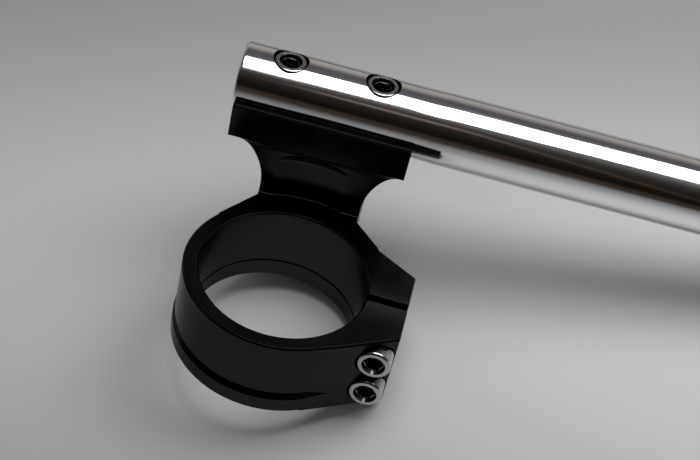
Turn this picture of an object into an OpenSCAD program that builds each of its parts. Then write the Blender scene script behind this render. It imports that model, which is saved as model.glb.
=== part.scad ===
// Clip-on handlebar: a machined fork clamp with a saddle, and a bar screwed down into the saddle.
// Origin: on the fork bore's axis, at the bottom face of the clamp ring. +Z runs up the bore,
// +X runs out along the pinch ear and the bar's free end, +Y runs from the ring to the saddle.

/* [Fork ring] */
// Diameter of the fork tube that the ring grips
fork_d = 50; // [47:0.5:56]
// Height of the ring along the fork
ring_h = 26.5; // [24:0.5:40]
// Wall thickness of the ring above its bottom lip
ring_wall = 4.8; // [4:0.2:8]
// How far the bottom lip stands out past the wall
lip_step = 0.5; // [0.3:0.1:1.5]
// Height of the bottom lip
lip_h = 5.2; // [3:0.2:8]
// Height of the sloped relief between lip and wall
relief_h = 2.6; // [1:0.2:4]
// How deep the relief's upper end lies under the wall
relief_depth = 1; // [0.2:0.1:1.2]
// Chamfer on the ends of the bore, on the turned edges and along the ear's top
edge_chamfer = 0.5; // [0.2:0.1:1]
// Height of the thin groove in the bore
groove_z = 6; // [4:0.5:12]
// Width of the thin groove in the bore
groove_w = 0.8; // [0.4:0.1:1.6]
// Depth of the thin groove in the bore
groove_depth = 0.4; // [0.2:0.1:0.8]

/* [Pinch ear] */
// How far the ear's end stands out past the ring wall
ear_reach = 7.7; // [7:0.1:12]
// Width across the ear's end face
ear_end_w = 26.4; // [24:0.2:36]
// Radius on the ear's two tips
ear_tip_r = 0.8; // [0.4:0.1:2]
// Width of the slit through the ear
slit_w = 2.7; // [1.5:0.1:4]
// How far the raised screw pad reaches back from the ear's end
pad_len = 15.5; // [13:0.5:18]

/* [Neck] */
// Width of the neck beside the ring
neck_w = 31.6; // [26:0.2:36]
// Distance from the ring wall to the neck's front corners, along Y
neck_corner = 0.2; // [0:0.1:2]
// Distance along X from the ear's end to the neck's slanted flank
flank_len = 13; // [11:0.5:15]
// Depth of the neck behind its front corners, at the saddle
neck_depth = 25.6; // [22:0.2:27]
// How far the neck's rear slopes in from the saddle to the ring's bottom
neck_rear_slope = 6; // [0:0.5:10]
// Height above the ring at which the neck starts to flare
flare_start = 3.5; // [1:0.5:8]
// Radius of the neck's flared sides
flare_r = 20.2; // [18:0.2:24]
// Gap between the ring wall and the neck's round front, over the ring's top
neck_step = 3.7; // [2:0.1:5]
// How far the saddle's front face stands behind the neck's front corners
saddle_set = 0.4; // [0:0.1:2]
// How far the neck's flat front stands behind the saddle's front face
neck_inset = 1.6; // [1:0.1:3]
// Radius at the foot of the neck's front
foot_r = 0.5; // [0.5:0.5:4]
// Radius under the saddle's front edge
cove_r = 6; // [4:0.5:8]

/* [Saddle] */
// Length of the saddle along the bar
saddle_len = 54; // [50:1:70]
// Metal left in front of and behind the bar at the saddle's top
saddle_wall = 2.7; // [2:0.1:5]
// Height of the saddle's bare front face
saddle_h = 11.3; // [10:0.1:16]
// Thickness of the round belly under the bar
belly_wall = 3.2; // [2:0.2:5]
// Gap between the ring's top face and the saddle's underside
saddle_rise = 20; // [18:0.5:30]
// Angle by which saddle and bar are swept about the fork
sweep = 1.8; // [0:0.1:6]
// Chamfer on the saddle's outer edges
saddle_chamfer = 0.7; // [0.3:0.1:1.2]
// Gap all round between the bar's seat and the saddle's trough
bar_gap = 0.05; // [0.02:0.01:0.2]

/* [Bar] */
// Outer diameter of the bar
bar_d = 22.2; // [22:0.1:25.4]
// Length of the bar
bar_len = 270; // [180:5:320]
// How far the bar's inner end stands out past the saddle
bar_overhang = 1; // [0:0.5:20]
// How far the bar's axis lies above the saddle's top face
bar_lift = 0.45; // [0:0.05:2]
// Diameter of the blind bore in the bar's free end
bar_bore_d = 14; // [10:0.5:17]
// Length of solid bar at the clamped end
bar_solid = 70; // [60:5:120]
// Chamfer on the bar's free end
bar_chamfer = 0.7; // [0.3:0.1:1.5]
// Radius on the edge of the bar's inner end
bar_round = 1; // [0.5:0.1:3]
// How much smaller, on the radius, the bar is turned where it lies in the saddle
seat_step = 0.2; // [0.2:0.05:0.5]
// Gap between the saddle's end and the taper at the end of the bar's seat
seat_gap = 0.3; // [0.1:0.1:1]
// Length of the taper from the bar's seat to its full diameter
seat_taper = 8; // [0.5:0.5:12]

/* [Screws] */
// Thread diameter of the four socket screws
screw_d = 6; // [5:1:6]
// Head diameter of the screws
head_d = 10; // [8.5:0.5:10]
// Head height of the screws
head_h = 6; // [5:0.5:6]
// Radius on the edge of the screw heads
head_round = 0.8; // [0.3:0.1:1.5]
// Size across the flats of the hexagon socket
socket_af = 5; // [4:0.5:5]
// Diameter of the countersink at the mouth of the socket
socket_mouth_d = 7; // [6:0.1:7.8]
// Depth of the countersink at the mouth of the socket
socket_mouth_depth = 1.2; // [0.2:0.1:1.5]
// Depth of the hexagon socket
socket_depth = 3.2; // [2:0.2:4]
// Length under the head of the bar screws
bar_screw_len = 22; // [20:1:24]
// Length under the head of the pinch screws
pinch_screw_len = 25; // [20:1:26]
// Distance from the saddle's ends to the bar screws
bar_screw_inset = 13; // [12:0.5:16]
// Distance between the two pinch screws
pinch_screw_pitch = 12.4; // [11:0.2:14]
// Depth of the bar screws' head seats below the bar's crest
bar_seat_depth = 7; // [6:0.5:8]
// How far outside the width of the ear's end the pinch screws' heads are seated
pinch_seat_out = 0.1; // [0:0.1:1]
// Metal between the pinch screws' counterbores and the ear's end
pinch_edge = 0; // [0:0.1:1]
// Gap all round between a screw head and its counterbore
head_gap = 0.4; // [0.1:0.05:0.5]
// Gap all round between a shank and its plain hole
shank_gap = 0.3; // [0.1:0.05:0.5]
// Gap all round between a shank and its threaded hole
thread_gap = 0.03; // [0.02:0.01:0.1]
// Free depth of a threaded hole past the screw's tip
hole_spare = 1; // [0.5:0.5:1.5]

/* [Hidden] */
$fn = 128;
cut = 1; // how far a cutting shape reaches past the faces that it opens
run_in = 0.04; // how far the flats start inside the turned faces that they run off
corner_steps = 6;
bore_r = fork_d / 2;
wall_r = bore_r + ring_wall;
lip_r = wall_r + lip_step;
relief_r = wall_r - relief_depth;
shoulder_z = lip_h + relief_h;
ear_x = wall_r + ear_reach;
ear_half = ear_end_w / 2;
neck_half = neck_w / 2;
neck_front = wall_r - neck_corner;
neck_back = neck_front + neck_depth;
saddle_z = ring_h + saddle_rise;
saddle_top = saddle_z + saddle_h;
bar_r = bar_d / 2;
bar_z = saddle_top + bar_lift;
seat_r = bar_r - seat_step;
trough_r = seat_r + bar_gap;
saddle_front = neck_front + saddle_set;
saddle_w = 2 * (bar_r + saddle_wall);
bar_y = saddle_front + saddle_w / 2;
bar_x0 = -saddle_len / 2 - bar_overhang;
seat_len = bar_overhang + saddle_len + seat_gap;
belly_r = trough_r + belly_wall;
flare_z = ring_h + flare_start;
bar_seat_z = bar_z + bar_r - bar_seat_depth;
head_r = head_d / 2;
counterbore_r = head_r + head_gap;
head_room = 3 * head_h;
shank_r = screw_d / 2;
plain_hole_r = shank_r + shank_gap;
thread_hole_r = shank_r + thread_gap;
ear_angle = tangent_angle([ear_x, ear_half], lip_r - run_in);
ear_root = on_circle(lip_r - run_in, ear_angle);
ear_tip = [ear_x, ear_half];
pad_corner = ear_tip + (ear_root - ear_tip) * pad_len / (ear_x - ear_root[0]);
pinch_x = ear_x - counterbore_r - pinch_edge;
pinch_seat = ear_half + pinch_seat_out;
pinch_zs = [for (s = [-1, 1]) ring_h / 2 + s * pinch_screw_pitch / 2];
bar_screw_xs = [for (s = [-1, 1]) s * (saddle_len / 2 - bar_screw_inset)];

// Angle at which a line from point p touches a circle of radius r, on its left
function tangent_angle(p, r) = atan2(p[1], p[0]) + acos(r / norm(p));
function on_circle(r, angle) = [r * cos(angle), r * sin(angle)];
function unit(v) = v / norm(v);
// The points of a half outline in reverse order, with their signs changed by s
function mirrored(half, s) = [for (i = [len(half) - 1 : -1 : 0]) [s[0] * half[i][0], s[1] * half[i][1]]];
// Points of a round corner at b, between straight edges from a and to c
function round_corner(a, b, c, r) = let (
    u = unit(a - b),
    v = unit(c - b),
    half = acos(u * v) / 2,
    centre = b + unit(u + v) * r / sin(half),
    start = b + u * r / tan(half),
    end = b + v * r / tan(half),
    a0 = atan2(start[1] - centre[1], start[0] - centre[0]),
    a1 = atan2(end[1] - centre[1], end[0] - centre[0]),
    turn = a1 - a0 > 180 ? a1 - a0 - 360 : a1 - a0 < -180 ? a1 - a0 + 360 : a1 - a0
) [for (i = [0 : corner_steps]) centre + on_circle(r, a0 + turn * i / corner_steps)];

// Where a flat from the pad's corner runs off a turned face of radius r
function flat_root(r) = on_circle(r - run_in, tangent_angle(pad_corner, r - run_in));

// A corner drawn in by c from two faces that look along u and v
function drawn_in(p, u, v, c) = p - (u + v) * c / (1 + u * v);

// Points of the ear seen from above, drawn in by c: its flats run off a turned face at root
function ear_points(root, c) = let (
    flat = unit(root),
    pad = unit(ear_root),
    tip = drawn_in(ear_tip, pad, [1, 0], c),
    tip_r = max(ear_tip_r - c, ear_tip_r / 4),
    half = concat(
        [root - flat * c, drawn_in(pad_corner, flat, pad, c)],
        round_corner(ear_root - pad * c, tip, [ear_x - c, 0], tip_r)
    )
) concat([[0, 0]], half, mirrored(half, [1, -1]));

module ear_outline(root) {
    polygon(ear_points(root, 0));
}

// Top of the ear, with a chamfer along its flats, its tips and its end
module ear_top() {
    low = ear_points(flat_root(wall_r), 0);
    high = ear_points(flat_root(wall_r), edge_chamfer);
    count = len(low);
    polyhedron(
        points = concat(
            [for (p = low) [p[0], p[1], ring_h - edge_chamfer]],
            [for (p = high) [p[0], p[1], ring_h]]
        ),
        faces = concat(
            [[for (i = [count - 1 : -1 : 0]) i]],
            [[for (i = [0 : count - 1]) count + i]],
            [for (i = [0 : count - 1]) let (j = (i + 1) % count) [i, j, count + j, count + i]]
        )
    );
}

// The relief's slope along the ear's flat: it runs out in a point at the pad's corner
module relief_end() {
    slope_root = flat_root(relief_r);
    core = on_circle(bore_r + ring_wall / 2, ear_angle);
    polyhedron(
        points = [
            [ear_root[0], ear_root[1], lip_h],
            [pad_corner[0], pad_corner[1], lip_h],
            [pad_corner[0], pad_corner[1], lip_h + relief_h / 2],
            [slope_root[0], slope_root[1], shoulder_z],
            [core[0], core[1], lip_h]
        ],
        faces = [[0, 1, 2], [0, 2, 3], [3, 2, 4], [4, 2, 1], [0, 4, 1], [0, 3, 4]]
    );
}

// The neck's foot seen from above, with its two slanted flanks
module neck_outline() {
    left = [-neck_half, neck_front];
    bend = ear_tip + (ear_root - ear_tip) * flank_len / (ear_x - ear_root[0]);
    polygon([
        [0, 0],
        bend,
        [neck_half, neck_front],
        [neck_half, neck_back],
        [-neck_half, neck_back],
        left,
        on_circle(wall_r - run_in, tangent_angle(left, wall_r - run_in))
    ]);
}

// Half section of the turned ring: lip, sloped relief, wall and their chamfers
module ring_section() {
    polygon([
        [0, 0],
        [lip_r - edge_chamfer, 0],
        [lip_r, edge_chamfer],
        [lip_r, lip_h],
        [relief_r, shoulder_z],
        [wall_r, shoulder_z],
        [wall_r, ring_h - edge_chamfer],
        [wall_r - edge_chamfer, ring_h],
        [0, ring_h]
    ]);
}

// Ring and ear before they are bored and slit
module ring_and_ear() {
    rotate_extrude()
        ring_section();
    linear_extrude(lip_h)
        ear_outline(ear_root);
    linear_extrude(shoulder_z + cut)
        ear_outline(flat_root(relief_r));
    translate([0, 0, shoulder_z])
        linear_extrude(ring_h - shoulder_z - edge_chamfer)
            ear_outline(flat_root(wall_r));
    ear_top();
    relief_end();
    mirror([0, 1, 0])
        relief_end();
}

// Neck seen along Y: straight beside the ring, then flaring out to the saddle
module neck_front_view() {
    flare_x = neck_half + flare_r;
    rise = saddle_z - flare_z;
    top_angle = asin(rise / flare_r);
    flare = [
        for (i = [0 : 2 * corner_steps])
            let (a = top_angle * i / (2 * corner_steps))
                [flare_x - flare_r * cos(a), flare_z + flare_r * sin(a)]
    ];
    right = concat([[neck_half, 0]], flare, [[flare[len(flare) - 1][0], saddle_z + cut]]);
    polygon(concat(right, mirrored(right, [-1, 1])));
}

// Section of the room in front of the neck: its face stands at d, and its cove ends at front, top
module front_room(d, front, top) {
    ledge = d - front;
    cove_z = top - sqrt(pow(cove_r, 2) - pow(cove_r - ledge, 2));
    foot = [
        for (i = [0 : corner_steps])
            let (a = 90 * i / corner_steps)
                [d - foot_r + foot_r * sin(a), ring_h + foot_r - foot_r * cos(a)]
    ];
    top_angle = acos((cove_r - ledge) / cove_r);
    cove = [
        for (i = [0 : corner_steps])
            let (a = top_angle * i / corner_steps)
                [d - cove_r + cove_r * cos(a), cove_z + cove_r * sin(a)]
    ];
    polygon(concat([[0, top], [0, ring_h]], foot, cove));
}

// Neck block over the ring, hollowed at the front by a flat room and by one round the fork
module neck() {
    linear_extrude(ring_h)
        neck_outline();
    difference() {
        intersection() {
            translate([0, neck_back, 0])
                rotate([90, 0, 0])
                    linear_extrude(neck_back - bore_r / 2)
                        neck_front_view();
            translate([0, 0, ring_h - cut])
                cylinder(h = saddle_rise + 2 * cut, r = 2 * neck_back);
        }
        rotate([0, 0, sweep])
            translate([-saddle_len, 0, 0])
                rotate([90, 0, 90])
                    linear_extrude(2 * saddle_len) {
                        front_room(saddle_front + neck_inset, saddle_front, saddle_z);
                        translate([0, saddle_z])
                            square([saddle_front + neck_inset / 2, 2 * cut]);
                    }
        rotate_extrude()
            front_room(wall_r + neck_step, saddle_front + neck_inset / 2, saddle_z - neck_inset);
    }
}

// Plane cut that leans the neck's rear in towards the ring's bottom
module rear_slope() {
    translate([-saddle_len, 0, 0])
        rotate([90, 0, 90])
            linear_extrude(2 * saddle_len)
                polygon([
                    [neck_back - neck_rear_slope, -cut],
                    [neck_back, saddle_z - belly_wall],
                    [neck_back + saddle_w, saddle_z - belly_wall],
                    [neck_back + saddle_w, -cut]
                ]);
}

// Saddle seen along the bar, before its trough is cut
module saddle_section() {
    polygon([
        [saddle_front, saddle_z],
        [saddle_front + saddle_w, saddle_z],
        [saddle_front + saddle_w, saddle_top - saddle_chamfer],
        [saddle_front + saddle_w - saddle_chamfer, saddle_top],
        [saddle_front + saddle_chamfer, saddle_top],
        [saddle_front, saddle_top - saddle_chamfer]
    ]);
    intersection() {
        translate([bar_y, bar_z])
            circle(r = belly_r);
        translate([bar_y - belly_r, saddle_z - belly_r])
            square([2 * belly_r, belly_r]);
    }
}

module along_bar(x0, length) {
    translate([x0, 0, 0])
        rotate([90, 0, 90])
            linear_extrude(length)
                children();
}

module at_bar_screws() {
    rotate([0, 0, sweep])
        for (x = bar_screw_xs)
            translate([x, bar_y, bar_seat_z])
                children();
}

module at_pinch_screws() {
    for (z = pinch_zs)
        translate([pinch_x, -pinch_seat, z])
            rotate([90, 0, 0])
                children();
}

// Threaded hole for a screw of the given length, seen from its head's seat
module threaded_hole(length) {
    translate([0, 0, -length - hole_spare])
        cylinder(h = length + hole_spare, r = thread_hole_r);
}

// Plain hole and counterbore for a screw's shank and head, seen from its head's seat
module plain_hole(depth) {
    translate([0, 0, -depth])
        cylinder(h = depth + cut, r = plain_hole_r);
    cylinder(h = head_room, r = counterbore_r);
}

// Bore of the fork, with its end chamfers and its thin groove
module fork_bore() {
    rotate_extrude()
        polygon([
            [0, -cut],
            [bore_r + edge_chamfer + cut, -cut],
            [bore_r, edge_chamfer],
            [bore_r, groove_z],
            [bore_r + groove_depth, groove_z],
            [bore_r + groove_depth, groove_z + groove_w],
            [bore_r, groove_z + groove_w],
            [bore_r, ring_h - edge_chamfer],
            [bore_r + edge_chamfer + cut, ring_h + cut],
            [0, ring_h + cut]
        ]);
}

module clamp_body() {
    color("#1c1c1e")
        difference() {
            union() {
                ring_and_ear();
                difference() {
                    neck();
                    rear_slope();
                }
                rotate([0, 0, sweep])
                    along_bar(-saddle_len / 2, saddle_len)
                        saddle_section();
            }
            fork_bore();
            translate([0, -slit_w / 2, -cut])
                cube([ear_x + cut, slit_w, ring_h + 2 * cut]);
            rotate([0, 0, sweep])
                translate([-saddle_len / 2 - cut, bar_y, bar_z])
                    rotate([0, 90, 0])
                        cylinder(h = saddle_len + 2 * cut, r = trough_r);
            at_bar_screws()
                threaded_hole(bar_screw_len);
            at_pinch_screws() {
                threaded_hole(pinch_screw_len);
                plain_hole(pinch_seat);
            }
        }
}

// A quarter of a disc, for the rounded edge of a turned piece
module quarter(r) {
    intersection() {
        circle(r = r);
        square(r);
    }
}

// Half section of the bar along its axis, from its inner end at the origin
module bar_section() {
    polygon([
        [0, bar_round],
        [seat_r, bar_round],
        [seat_r, seat_len],
        [bar_r, seat_len + seat_taper],
        [bar_r, bar_len - bar_chamfer],
        [bar_r - bar_chamfer, bar_len],
        [bar_bore_d / 2 + bar_chamfer, bar_len],
        [bar_bore_d / 2, bar_len - bar_chamfer],
        [bar_bore_d / 2, bar_solid],
        [0, bar_solid]
    ]);
    square([seat_r - bar_round, bar_round]);
    translate([seat_r - bar_round, bar_round])
        mirror([0, 1])
            quarter(bar_round);
}

// Bar: a turned round with a blind bore from its free end, and two counterbored holes on top
module bar_tube() {
    color("#d8d8d8")
        difference() {
            rotate([0, 0, sweep])
                translate([bar_x0, bar_y, bar_z])
                    rotate([90, 0, 90])
                        rotate_extrude()
                            bar_section();
            at_bar_screws()
                plain_hole(bar_d + cut);
        }
}

// Half section of a socket cap screw: head up, shank down, seat at its origin
module screw_section(length) {
    tip = screw_d / 8;
    polygon([
        [0, -length],
        [shank_r - tip, -length],
        [shank_r, tip - length],
        [shank_r, 0],
        [head_r, 0],
        [head_r, head_h - head_round],
        [0, head_h - head_round]
    ]);
    translate([0, head_h - head_round])
        square([head_r - head_round, head_round]);
    translate([head_r - head_round, head_h - head_round])
        quarter(head_round);
}

module socket_screw(length) {
    socket_r = socket_af / 2 / cos(30);
    difference() {
        rotate_extrude($fn = 64)
            screw_section(length);
        translate([0, 0, head_h - socket_depth])
            cylinder(h = socket_depth + cut, r = socket_r, $fn = 6);
        rotate_extrude($fn = 64)
            polygon([
                [0, head_h - socket_mouth_depth],
                [socket_r, head_h - socket_mouth_depth],
                [socket_mouth_d / 2, head_h],
                [socket_mouth_d / 2, head_h + cut],
                [0, head_h + cut]
            ]);
    }
}

module bar_screws() {
    color("#c9c9cc")
        at_bar_screws()
            socket_screw(bar_screw_len);
}

module pinch_screws() {
    color("#c9c9cc")
        at_pinch_screws()
            socket_screw(pinch_screw_len);
}

clamp_body();
bar_tube();
bar_screws();
pinch_screws();
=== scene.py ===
# %% [markdown]
# # A clip-on handlebar
# This lesson dresses a clip-on handlebar for a motorcycle: a black machined clamp that grips
# the fork, a polished bar that lies in the clamp's saddle, and four bright socket screws.
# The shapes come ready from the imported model, at their real size and in metres. What is left
# for Blender is how each surface looks: satin black anodising, polished aluminium and bright
# plated steel, and a small studio that gives the metal something to mirror.

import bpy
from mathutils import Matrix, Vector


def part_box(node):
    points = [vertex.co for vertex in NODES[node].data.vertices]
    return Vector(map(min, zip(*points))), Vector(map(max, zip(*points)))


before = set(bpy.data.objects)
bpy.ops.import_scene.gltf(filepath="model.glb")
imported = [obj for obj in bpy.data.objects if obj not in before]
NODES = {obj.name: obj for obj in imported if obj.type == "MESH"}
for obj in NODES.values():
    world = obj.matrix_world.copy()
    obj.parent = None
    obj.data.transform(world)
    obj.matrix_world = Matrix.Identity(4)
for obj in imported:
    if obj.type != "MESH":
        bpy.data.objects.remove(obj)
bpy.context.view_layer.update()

import math

import bpy
from mathutils import Matrix, Vector

print("nodes:", sorted(NODES))

# %% [markdown]
# ## Where the photograph was taken from
# The ring, the saddle and the bar each give straight edges and ellipses, and together they fix
# the camera: how far it stood, how steeply it looked down and how far it was rolled. The roll
# is large because the clamp doesn't lie flat on its ring: it tips over until the bar's free end
# touches the table. A camera could also be aimed by a constraint at an empty, but then the roll
# would be hard to set. Here it is written as a place, three angles and a lens, which is how
# a photographer would describe it.

# %% Camera
CAMERA_PLACE = Vector((0.0246, -0.3073, 0.3321))
LOOKS_LEFT = math.radians(-1.736)
LOOKS_DOWN = math.radians(42.558)
ROLL = math.radians(14.783)
LENS_MM = 76.65
SENSOR_MM = 36.0


def level_look(left, down):
    """Rotation of a level camera that looks along +Y, turned left and tipped down."""
    forward = Vector((
        math.sin(left) * math.cos(down),
        math.cos(left) * math.cos(down),
        -math.sin(down),
    ))
    return forward.to_track_quat("-Z", "Y").to_matrix().to_4x4()


camera_data = bpy.data.cameras.new("camera")
camera_data.lens = LENS_MM
camera_data.sensor_width = SENSOR_MM
camera_data.sensor_fit = "HORIZONTAL"
camera_data.clip_start = 0.01
camera_data.clip_end = 20.0
camera = bpy.data.objects.new("camera", camera_data)
camera.matrix_world = (
    Matrix.Translation(CAMERA_PLACE)
    @ level_look(LOOKS_LEFT, LOOKS_DOWN)
    @ Matrix.Rotation(ROLL, 4, "Z")
)
bpy.context.scene.collection.objects.link(camera)
bpy.context.scene.camera = camera
print("camera stands", round(CAMERA_PLACE.length, 3), "m from the ring")

# %% [markdown]
# ## Small helpers for nodes
# Every finish below is a Principled shader with a few nodes that vary its colour, its roughness
# or its height. Such nodes can be wired by hand in the editor. In a script, a few helpers keep
# each finish short, so that it reads as a list of what is special about it. The first makes
# a node and sets its inputs and its properties. The next two make an empty material and a Math
# node.

# %% Node helpers
def node_maker(tree):
    """A function that makes nodes in this tree."""

    def node(kind, inputs=None, **properties):
        made = tree.nodes.new("ShaderNode" + kind)
        for key, value in properties.items():
            setattr(made, key, value)
        for key, value in (inputs or {}).items():
            made.inputs[key].default_value = value
        return made

    return node


def new_finish(name):
    """A material with one Principled shader, its node maker, its linker and that shader."""
    material = bpy.data.materials.new(name)
    material.use_nodes = True
    tree = material.node_tree
    return material, node_maker(tree), tree.links.new, tree.nodes["Principled BSDF"]


def reckon(node, link, operation, *values):
    """A Math node. Its values are numbers or the outputs of other nodes."""
    made = node("Math", operation=operation)
    for socket, value in zip(made.inputs, values):
        if isinstance(value, (int, float)):
            socket.default_value = value
        else:
            link(value, socket)
    return made.outputs[0]


print("node helpers are ready")

# %% [markdown]
# ## Grain in real size
# Machined, polished and plated metal is never quite even. An image texture could show that, but
# it would need a map on the surface. A noise in object coordinates needs none, and because the
# model is in metres, its scale counts grains per metre. The noise keeps mostly between 0.3 and
# 0.7, so that span is what gets spread out between two roughness values. The same noise is felt
# as a very low bump. A Bevel node under it takes the razor sharpness from the edges in the light
# only, so that the mesh stays as it is.

# %% Grain helpers
NOISE_LOW, NOISE_HIGH = 0.3, 0.7


def grain(node, link, scale, detail, stretch=(1.0, 1.0, 1.0)):
    """A noise in object coordinates, which may be stretched."""
    coordinates = node("TexCoord")
    mapping = node("Mapping", {"Scale": stretch})
    noise = node("TexNoise", {"Scale": scale, "Detail": detail})
    link(coordinates.outputs["Object"], mapping.inputs["Vector"])
    link(mapping.outputs["Vector"], noise.inputs["Vector"])
    return noise.outputs["Fac"]


def spread(node, link, pattern, low, high):
    """The usual span of a noise, spread out between two values."""
    ranged = node(
        "MapRange",
        {"From Min": NOISE_LOW, "From Max": NOISE_HIGH, "To Min": low, "To Max": high},
    )
    link(pattern, ranged.inputs["Value"])
    return ranged.outputs["Result"]


def feel(node, link, shader, pattern, strength, height, edge=None):
    """A bump of a real height in metres, over edges that a Bevel node may round."""
    bump = node("Bump", {"Strength": strength, "Distance": height})
    link(pattern, bump.inputs["Height"])
    if edge:
        link(edge.outputs["Normal"], bump.inputs["Normal"])
    link(bump.outputs["Normal"], shader.inputs["Normal"])


print("a noise is read between", NOISE_LOW, "and", NOISE_HIGH)

# %% [markdown]
# ## Black anodising
# The clamp is machined from aluminium and dyed black in an oxide layer that is only some
# hundredths of a millimetre thick. The dye swallows most of the light on its way to the metal
# and back. Black paint under a clear coat would look too light at a flat angle. So the surface
# is a metal that mirrors only 3 percent, and its tint keeps it dark at a flat angle too. A fine
# noise stands for the blasted grain, and a broad one for the faint cloudiness of the dye.

# %% Black anodised aluminium
def black_anodising():
    material, node, link, shader = new_finish("black_anodising")
    shader.inputs["Base Color"].default_value = (0.031, 0.031, 0.032, 1.0)
    shader.inputs["Metallic"].default_value = 1.0
    shader.inputs["Specular Tint"].default_value = (0.62, 0.62, 0.62, 1.0)
    clouds = grain(node, link, scale=90.0, detail=3.0)
    link(spread(node, link, clouds, 0.17, 0.24), shader.inputs["Roughness"])
    blasted = grain(node, link, scale=5200.0, detail=2.0)
    edge = node("Bevel", {"Radius": 0.0001}, samples=8)
    feel(node, link, shader, blasted, strength=0.18, height=0.00001, edge=edge)
    return material


ANODISED = black_anodising()
print(ANODISED.name, "has", len(ANODISED.node_tree.nodes), "nodes")

# %% [markdown]
# ## Polished bar
# The bar is a drawn aluminium tube, polished along its length. Its colour comes almost only
# from what it mirrors, so its own colour is a plain light metal and the roughness is low. The
# shader's anisotropy could show the polishing too, but it needs a direction on the surface.
# Polishing leaves very fine lines along the bar, so a noise that is stretched far along X and
# squeezed across gives them, in the roughness and as a barely felt bump.

# %% Polished aluminium
ALONG_THE_BAR = (6.0, 900.0, 900.0)


def polished_aluminium():
    material, node, link, shader = new_finish("polished_aluminium")
    shader.inputs["Base Color"].default_value = (0.90, 0.90, 0.91, 1.0)
    shader.inputs["Metallic"].default_value = 1.0
    lines = grain(node, link, scale=1.0, detail=4.0, stretch=ALONG_THE_BAR)
    link(spread(node, link, lines, 0.06, 0.13), shader.inputs["Roughness"])
    feel(node, link, shader, lines, strength=0.04, height=0.000005)
    return material


POLISHED = polished_aluminium()
print(POLISHED.name, "has", len(POLISHED.node_tree.nodes), "nodes")

# %% [markdown]
# ## Bright screws
# The socket screws are plated steel, and their heads are turned bright on the outside. The socket
# and the head's sides inside the clamp's pocket get painted shade, which is a dark brownish tone
# of the same metal where shade falls. A second material there would need faces picked by hand.
# Ambient occlusion tells the hollow from the open faces by itself, and a small ramp turns that
# into the painted shade and a bright tone of the same metal.

# %% Bright plated steel
# Painted shade: the dark tone for occluded hollows, and the bright tone for open faces.
HOLLOW_SHADE_AT, HOLLOW_SHADE_STEEL = 0.55, (0.032, 0.026, 0.021, 1.0)
BRIGHT_AT, BRIGHT_STEEL = 0.98, (0.56, 0.55, 0.54, 1.0)
HOLLOW_REACH = 0.009


def bright_steel():
    material, node, link, shader = new_finish("bright_steel")
    shader.inputs["Metallic"].default_value = 1.0
    hollow = node("AmbientOcclusion", {"Distance": HOLLOW_REACH}, samples=8)
    # The ramp paints shade into the base colour wherever the occlusion is deep.
    tone = node("ValToRGB")
    dark, bright = tone.color_ramp.elements
    dark.position, dark.color = HOLLOW_SHADE_AT, HOLLOW_SHADE_STEEL
    bright.position, bright.color = BRIGHT_AT, BRIGHT_STEEL
    link(hollow.outputs["AO"], tone.inputs["Fac"])
    link(tone.outputs["Color"], shader.inputs["Base Color"])
    spots = grain(node, link, scale=700.0, detail=3.0)
    link(spread(node, link, spots, 0.10, 0.20), shader.inputs["Roughness"])
    edge = node("Bevel", {"Radius": 0.0002}, samples=4)
    feel(node, link, shader, spots, strength=0.05, height=0.00001, edge=edge)
    return material


PLATED = bright_steel()
print(PLATED.name, "has", len(PLATED.node_tree.nodes), "nodes")

# %% [markdown]
# ## Which piece gets which finish
# The bar screws and the pinch screws are the same kind of screw, so they share one material.
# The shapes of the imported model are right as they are. So no piece is modelled again, and the
# finish is put into the material slots that each piece already has.

# %% Give each node its finish
FINISHES = {
    "clamp_body": ANODISED,
    "bar_tube": POLISHED,
    "bar_screws": PLATED,
    "pinch_screws": PLATED,
}


def dress(piece, finish):
    """Put the finish into every material slot of a piece, and make one if it has none."""
    if not piece.data.materials:
        piece.data.materials.append(finish)
    for place in piece.material_slots:
        place.material = finish


for name, finish in FINISHES.items():
    dress(NODES[name], finish)
    print(name, "has", len(NODES[name].data.polygons), "faces and is", finish.name)

# %% [markdown]
# ## The table
# The real clamp can't stand on its ring, because the bar's weight tips it over. It comes to
# rest on three points: the lower edge of the ear, the lower rear corner of the neck, and the
# bottom of the bar's free end. The model could be tipped onto a level table, but then it would
# leave its own upright frame. So the table is tipped instead: it is the plane through those
# three points, and the shadows fall as they do in the photograph.

# %% Floor through the three points that touch it
EAR_CORNER = Vector((0.0375, 0.0132, 0.0))
NECK_CORNER = Vector((0.0152, 0.0492, 0.0))
BAR_RADIUS = 0.0111
FLOOR_GAP = 0.0003
FLOOR_SIDE = 5.0

bar_low, bar_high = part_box("bar_tube")
bar_end = Vector((bar_high.x, bar_high.y - BAR_RADIUS, bar_low.z))
floor_up = (bar_end - EAR_CORNER).cross(NECK_CORNER - EAR_CORNER).normalized()
side = FLOOR_SIDE / 2
corners = [(-side, -side, 0), (side, -side, 0), (side, side, 0), (-side, side, 0)]
floor_mesh = bpy.data.meshes.new("floor")
floor_mesh.from_pydata(corners, [], [(0, 1, 2, 3)])
floor = bpy.data.objects.new("floor", floor_mesh)
bpy.context.scene.collection.objects.link(floor)
floor.matrix_world = (
    Matrix.Translation(EAR_CORNER - floor_up * FLOOR_GAP)
    @ floor_up.to_track_quat("Z", "Y").to_matrix().to_4x4()
)
lean = math.degrees(floor_up.angle(Vector((0, 0, 1))))
print("the table leans", round(lean, 1), "degrees from the ring's plane")

# %% [markdown]
# ## The table's colour, with a painted pool of light
# The table is a pale sheet with a painted pool of light. One even colour would do for the
# shadows, but the polished bar mirrors the table, and there it would look flat. So the sheet's
# colour is painted lighter along the line of the bar than far in front of it or behind it, as if
# the lamp lit it most there. This painted light gives the silver underside of the bar its soft
# falloff.

# %% Pale floor colour, with a painted pool of light
# Painted pool of light: the colour near the bar's line, the colour far from it, and how far the
# light falls off.
FLOOR_LIT_NEAR = 0.70
FLOOR_DIM_FAR = 0.40
FLOOR_FADE = 0.16
FLOOR_LINE_Y = 0.03

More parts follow.
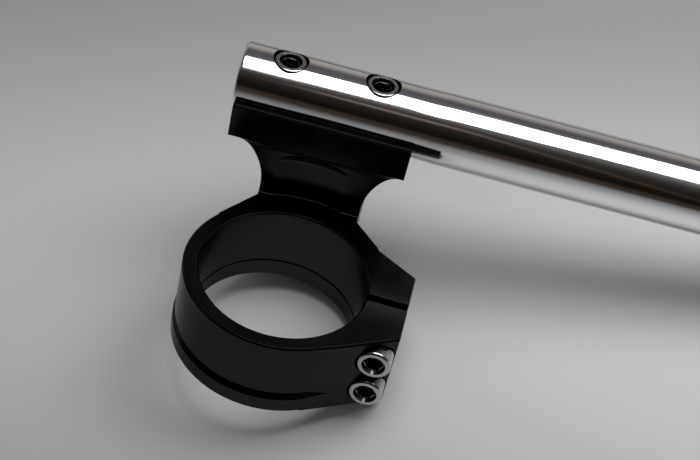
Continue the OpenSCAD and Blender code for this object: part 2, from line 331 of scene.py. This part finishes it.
floor_finish, node, link, shader = new_finish("pale_floor")
spot = node("NewGeometry")
split = node("SeparateXYZ")
link(spot.outputs["Position"], split.inputs["Vector"])
off_line = reckon(node, link, "SUBTRACT", split.outputs["Y"], FLOOR_LINE_Y)
away = reckon(node, link, "ABSOLUTE", off_line)
painted_light_pool = node(
    "MapRange",
    {"From Max": FLOOR_FADE, "To Min": FLOOR_LIT_NEAR, "To Max": FLOOR_DIM_FAR},
    interpolation_type="SMOOTHSTEP",
)
link(away, painted_light_pool.inputs["Value"])
# The painted pool of light goes into the floor's base colour.
link(painted_light_pool.outputs["Result"], shader.inputs["Base Color"])
shader.inputs["Roughness"].default_value = 0.9
shader.inputs["Specular IOR Level"].default_value = 0.1
floor_mesh.materials.append(floor_finish)
print("the table's colour goes from", FLOOR_LIT_NEAR, "to", FLOOR_DIM_FAR, "over", FLOOR_FADE, "m")

# %% [markdown]
# ## What the metal mirrors
# A polished bar shows its surroundings as long bands. From the top edge of the bar down, the
# photograph has a grey wall, a dark gap, one wide white softbox, a dark room with brown edges,
# and last the pale table. The softbox is a real area light, and the table is a real sheet. Walls
# could be built as well, but a bar can't tell how far off they are. So the rest of the room is
# painted into the world, as tones over one angle: the angle about the bar, counted in degrees
# from straight up towards the camera.

# %% The room, as tones over an angle about the bar
ROOM = [
    (-91, (0.27, 0.26, 0.24)),
    (-78, (0.35, 0.33, 0.315)),
    (-63, (0.30, 0.28, 0.27)),
    (-46, (0.085, 0.080, 0.085)),
    (-34, (0.085, 0.080, 0.085)),
    (23, (0.10, 0.10, 0.095)),
    (33, (0.042, 0.039, 0.036)),
    (38.5, (0.028, 0.026, 0.024)),
    (46, (0.020, 0.018, 0.016)),
    (55, (0.014, 0.012, 0.011)),
    (66, (0.008, 0.007, 0.006)),
    (77, (0.005, 0.0048, 0.004)),
    (81, (0.010, 0.0075, 0.005)),
    (87, (0.036, 0.025, 0.017)),
    (93, (0.036, 0.026, 0.019)),
    (99, (0.060, 0.054, 0.050)),
]

world = bpy.data.worlds.new("studio")
bpy.context.scene.world = world
world.use_nodes = True
world.node_tree.nodes.clear()
world.cycles.sampling_method = "NONE"
node, link = node_maker(world.node_tree), world.node_tree.links.new


def tones(stops, low, high, value):
    """A colour ramp that is read at a value. Its stops stand at values from low to high."""
    place = node("MapRange", {"From Min": low, "From Max": high})
    link(value, place.inputs["Value"])
    ramp = node("ValToRGB")
    link(place.outputs["Result"], ramp.inputs["Fac"])
    elements = ramp.color_ramp.elements
    elements.remove(elements[-1])
    for number, (at, colour) in enumerate(stops):
        position = (at - low) / (high - low)
        stop = elements.new(position) if number else elements[0]
        stop.position = position
        stop.color = (*colour, 1.0)
    return ramp.outputs["Color"]


direction = node("TexCoord")
look = node("SeparateXYZ")
link(direction.outputs["Generated"], look.inputs["Vector"])
towards_camera = reckon(node, link, "MULTIPLY", look.outputs["Y"], -1.0)
about_bar = reckon(node, link, "ARCTAN2", towards_camera, look.outputs["Z"])
angle = reckon(node, link, "DEGREES", about_bar)
room = tones(ROOM, -180, 180, angle)
print("the room has", len(ROOM), "tones")

# %% [markdown]
# ## A wooden shelf in the room
# In the dark band the bar also mirrors a thin brown line. It runs along the bar at first and
# then slants across the band, so it belongs to something straight that stands askew to the bar,
# such as the lit edge of a shelf. It could be a mesh with a glow of its own, but the rest of the
# room is painted, so the shelf is painted too. Its angle about the bar grows with the direction's
# X past a bend, and it fades out to both sides. Its tone changes with X, because a shelf is never
# lit evenly.

# %% The slanted glow of the shelf
SHELF_START = 41
SHELF_BEND = 0.085
SHELF_SLANT = 150
SHELF_HALF = 5
SHELF_GLOW = [
    (-0.05, (0.0, 0.0, 0.0)),
    (-0.01, (0.17, 0.11, 0.085)),
    (0.04, (0.21, 0.15, 0.12)),
    (0.09, (0.10, 0.07, 0.055)),
    (0.13, (0.055, 0.036, 0.025)),
    (0.22, (0.034, 0.018, 0.010)),
    (0.34, (0.0, 0.0, 0.0)),
]

past_bend = reckon(node, link, "SUBTRACT", look.outputs["X"], SHELF_BEND)
slanted = reckon(node, link, "MAXIMUM", past_bend, 0.0)
middle = reckon(node, link, "MULTIPLY_ADD", slanted, SHELF_SLANT, SHELF_START)
off_middle = reckon(node, link, "ABSOLUTE", reckon(node, link, "SUBTRACT", angle, middle))
edge = node(
    "MapRange",
    {"From Max": SHELF_HALF, "To Min": 1.0, "To Max": 0.0},
    interpolation_type="SMOOTHSTEP",
)
link(off_middle, edge.inputs["Value"])
shelf = node("VectorMath", operation="SCALE")
link(tones(SHELF_GLOW, -1, 1, look.outputs["X"]), shelf.inputs[0])
link(edge.outputs["Result"], shelf.inputs["Scale"])
furnished = node("VectorMath", operation="ADD")
link(room, furnished.inputs[0])
link(shelf.outputs[0], furnished.inputs[1])
print("the shelf is", 2 * SHELF_HALF, "degrees wide and has", len(SHELF_GLOW), "tones")

# %% [markdown]
# ## Who sees the room
# A dark brown room would also tint and darken everything it lights. So a Light Path node splits
# the rays: only mirrored ones see the room. Soft light gets a plain grey, which keeps the colours
# true and fills the shadows, and the camera sees plain white past the table's edge.

# %% Room, soft light and white background together
SOFT_GREY = (0.18, 0.18, 0.18, 1.0)
WHITE = (1.0, 1.0, 1.0, 1.0)

room_light = node("Background")
link(furnished.outputs[0], room_light.inputs["Color"])
soft_light = node("Background", {"Color": SOFT_GREY})
white_light = node("Background", {"Color": WHITE})
path = node("LightPath")


def choose(ray, otherwise, then):
    """One light for the rays of this kind, and another for the rest."""
    mix = node("MixShader")
    link(path.outputs[ray], mix.inputs["Fac"])
    link(otherwise.outputs[0], mix.inputs[1])
    link(then.outputs[0], mix.inputs[2])
    return mix


mirrored = choose("Is Glossy Ray", soft_light, room_light)
seen = choose("Is Camera Ray", mirrored, white_light)
output = node("OutputWorld")
link(seen.outputs[0], output.inputs["Surface"])
print("the world has", len(world.node_tree.nodes), "nodes")

# %% [markdown]
# ## The softbox
# The wide white band on the bar is a photographer's softbox. A glowing sheet would look the same
# in the bar, but an area light of that size also gives clean soft shadows. It hangs half a metre
# over the bar, turned by 20 degrees. Its two long edges are the borders of the white band, and
# the turn makes that band narrower at the bar's inner end. Its power follows from how bright its
# face should be, so that a change of its size leaves the band as white as before.

# %% Softbox over the bar
SOFTBOX_MIDDLE = Vector((0.141, 0.078, 0.558))
SOFTBOX_LENGTH = 0.585
SOFTBOX_WIDTH = 0.33
SOFTBOX_TURN = math.radians(20)
SOFTBOX_RADIANCE = 3.9

softbox_data = bpy.data.lights.new("softbox", "AREA")
softbox_data.shape = "RECTANGLE"
softbox_data.size = SOFTBOX_LENGTH
softbox_data.size_y = SOFTBOX_WIDTH
softbox_data.energy = SOFTBOX_RADIANCE * math.pi * SOFTBOX_LENGTH * SOFTBOX_WIDTH
softbox = bpy.data.objects.new("softbox", softbox_data)
softbox.matrix_world = Matrix.Translation(SOFTBOX_MIDDLE) @ Matrix.Rotation(SOFTBOX_TURN, 4, "Z")
bpy.context.scene.collection.objects.link(softbox)
print("softbox of", SOFTBOX_LENGTH, "by", SOFTBOX_WIDTH, "m,", round(softbox_data.energy, 2), "W")

# %% [markdown]
# ## Colours as they are
# Blender's default view softens bright colours, which suits a landscape. A product picture should
# show black as black and white as white, so the plain Standard view is chosen.

# %% Standard view
bpy.context.scene.view_settings.view_transform = "Standard"
print("view:", bpy.context.scene.view_settings.view_transform)
